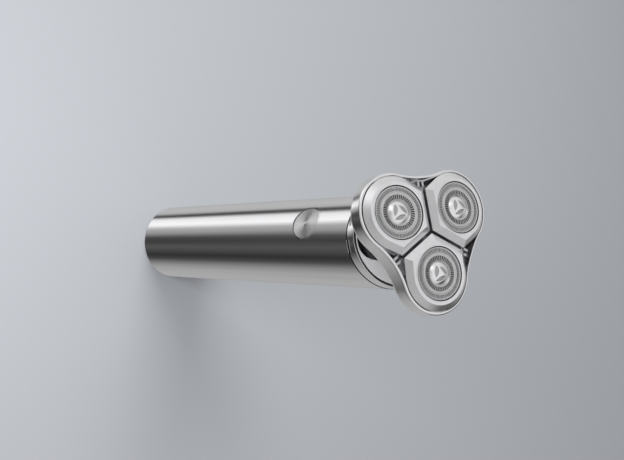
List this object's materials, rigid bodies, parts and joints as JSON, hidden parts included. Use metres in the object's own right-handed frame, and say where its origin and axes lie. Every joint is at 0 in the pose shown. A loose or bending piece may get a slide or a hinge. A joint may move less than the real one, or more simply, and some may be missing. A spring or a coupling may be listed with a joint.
{
  "type": "rotary electric shaver",
  "caption": "Cordless rotary shaver: straight round metal handle with a front power button and a slanted floating trefoil head whose lobes carry slotted guards over spinning cutters.",
  "frame": {"origin": "centre of the handle's flat tail face", "axes": "+Z along the handle towards the head, -Y towards the power button and the front lobe, +X to the right when facing the button"},
  "size_m": [0.053, 0.0518, 0.1713],
  "materials": {
    "brushed_handle_metal": "brushed along its length",
    "dark_plastic": "fine matte",
    "black_rubber": "matte",
    "port_steel": "satin",
    "cell_wrap": "shrink wrap",
    "nickel": "satin plated",
    "board_green": "solder mask",
    "switch_plastic": "moulded",
    "polished_chrome": "polished",
    "spun_button_metal": "spun rings",
    "motor_steel": "plain",
    "satin_metal": "satin",
    "guard_steel": "fine slotted",
    "cutter_steel": "ground"
  },
  "bodies": {
    "handle": {"body_tube": "brushed_handle_metal", "tail_cap": "dark_plastic", "tail_seal": "black_rubber", "charging_port": "port_steel", "chassis": "dark_plastic", "battery_cell": "cell_wrap", "battery_tabs": "nickel", "circuit_board": "board_green", "tact_switch": "switch_plastic", "button_bezel": "polished_chrome", "button_gasket": "black_rubber", "motor_can": "motor_steel", "motor_bracket": "motor_steel", "motor_screws": "motor_steel", "neck_seal": "black_rubber", "collar": "polished_chrome", "latch_tab": "polished_chrome", "neck_plate": "satin_metal", "ring_socket": "dark_plastic"},
    "button": {"button_cap": "spun_button_metal", "button_stem": "switch_plastic"},
    "motor_rotor": {"motor_shaft": "motor_steel", "drive_coupler": "motor_steel"},
    "swivel": {"swivel_ring": "dark_plastic"},
    "head_base": {"head_base": "dark_plastic", "gear_cover": "dark_plastic", "base_magnets": "nickel"},
    "drive": {"drive_gear": "motor_steel"},
    "spindle_1": {"spindle_gear_1": "dark_plastic", "spindle_1": "motor_steel"},
    "spindle_2": {"spindle_gear_2": "dark_plastic", "spindle_2": "motor_steel"},
    "spindle_3": {"spindle_gear_3": "dark_plastic", "spindle_3": "motor_steel"},
    "shaving_unit": {"head_frame": "polished_chrome", "frame_bridge": "motor_steel", "hinge_pins": "motor_steel"},
    "pod_1": {"pod_1": "satin_metal", "guard_rim_1": "polished_chrome", "guard_1": "guard_steel", "guard_cap_1": "polished_chrome"},
    "pod_2": {"pod_2": "satin_metal", "guard_rim_2": "polished_chrome", "guard_2": "guard_steel", "guard_cap_2": "polished_chrome"},
    "pod_3": {"pod_3": "satin_metal", "guard_rim_3": "polished_chrome", "guard_3": "guard_steel", "guard_cap_3": "polished_chrome"},
    "cutter_1": {"cutter_1": "cutter_steel", "cutter_carrier_1": "dark_plastic"},
    "cutter_2": {"cutter_2": "cutter_steel", "cutter_carrier_2": "dark_plastic"},
    "cutter_3": {"cutter_3": "cutter_steel", "cutter_carrier_3": "dark_plastic"}
  },
  "joints": [
    {"name": "button_press", "type": "slide", "parent": "handle", "child": "button", "axis": [0, 1, 0], "range_m": [0, 0.0006], "stiffness_N_per_m": 1500, "springref_m": -0.0004},
    {"name": "motor_spin", "type": "hinge", "parent": "handle", "child": "motor_rotor", "pos_m": [0, -0.00025, 0.14136], "axis": [0, -0.309, 0.9511], "continuous": true},
    {"name": "head_nod", "type": "hinge", "parent": "handle", "child": "swivel", "pos_m": [0, -0.00025, 0.14136], "axis": [1, 0, 0], "range_deg": [-5, 5], "stiffness_Nm_per_rad": 0.6},
    {"name": "head_roll", "type": "hinge", "parent": "swivel", "child": "head_base", "pos_m": [0, -0.00025, 0.14136], "axis": [0, 0.9511, 0.309], "range_deg": [-5, 5], "stiffness_Nm_per_rad": 0.6},
    {"name": "drive_spin", "type": "hinge", "parent": "head_base", "child": "drive", "pos_m": [0, -0.00025, 0.14136], "axis": [0, -0.309, 0.9511], "continuous": true},
    {"name": "spindle_spin_1", "type": "hinge", "parent": "head_base", "child": "spindle_1", "pos_m": [0, -0.01904, 0.15229], "axis": [0, -0.309, 0.9511], "continuous": true},
    {"name": "spindle_spin_2", "type": "hinge", "parent": "head_base", "child": "spindle_2", "pos_m": [-0.01256, 0.00164, 0.15901], "axis": [0, -0.309, 0.9511], "continuous": true},
    {"name": "spindle_spin_3", "type": "hinge", "parent": "head_base", "child": "spindle_3", "pos_m": [0.01256, 0.00164, 0.15901], "axis": [0, -0.309, 0.9511], "continuous": true},
    {"name": "unit_lift", "type": "slide", "parent": "head_base", "child": "shaving_unit", "axis": [0, -0.309, 0.9511], "range_m": [0, 0.02]},
    {"name": "pod_tilt_1", "type": "hinge", "parent": "shaving_unit", "child": "pod_1", "pos_m": [0, -0.01506, 0.1601], "axis": [1, 0, 0], "range_deg": [-3, 3], "stiffness_Nm_per_rad": 0.06},
    {"name": "pod_tilt_2", "type": "hinge", "parent": "shaving_unit", "child": "pod_2", "pos_m": [-0.00719, -0.00322, 0.16395], "axis": [-0.5, -0.8236, -0.2676], "range_deg": [-3, 3], "stiffness_Nm_per_rad": 0.06},
    {"name": "pod_tilt_3", "type": "hinge", "parent": "shaving_unit", "child": "pod_3", "pos_m": [0.00719, -0.00322, 0.16395], "axis": [-0.5, 0.8236, 0.2676], "range_deg": [-3, 3], "stiffness_Nm_per_rad": 0.06},
    {"name": "cutter_spin_1", "type": "hinge", "parent": "pod_1", "child": "cutter_1", "pos_m": [0, -0.02207, 0.16161], "axis": [0, -0.3681, 0.9298], "continuous": true},
    {"name": "cutter_spin_2", "type": "hinge", "parent": "pod_2", "child": "cutter_2", "pos_m": [-0.01256, -0.00139, 0.16833], "axis": [-0.0544, -0.2785, 0.9589], "continuous": true},
    {"name": "cutter_spin_3", "type": "hinge", "parent": "pod_3", "child": "cutter_3", "pos_m": [0.01256, -0.00139, 0.16833], "axis": [0.0544, -0.2785, 0.9589], "continuous": true}
  ],
  "couplings": [
    {"joint": "motor_spin", "follows": "drive_spin", "ratio": 1},
    {"joint": "spindle_spin_1", "follows": "drive_spin", "ratio": -0.70588},
    {"joint": "spindle_spin_2", "follows": "drive_spin", "ratio": -0.70588},
    {"joint": "spindle_spin_3", "follows": "drive_spin", "ratio": -0.70588},
    {"joint": "cutter_spin_1", "follows": "drive_spin", "ratio": -0.70588},
    {"joint": "cutter_spin_2", "follows": "drive_spin", "ratio": -0.70588},
    {"joint": "cutter_spin_3", "follows": "drive_spin", "ratio": -0.70588}
  ]
}
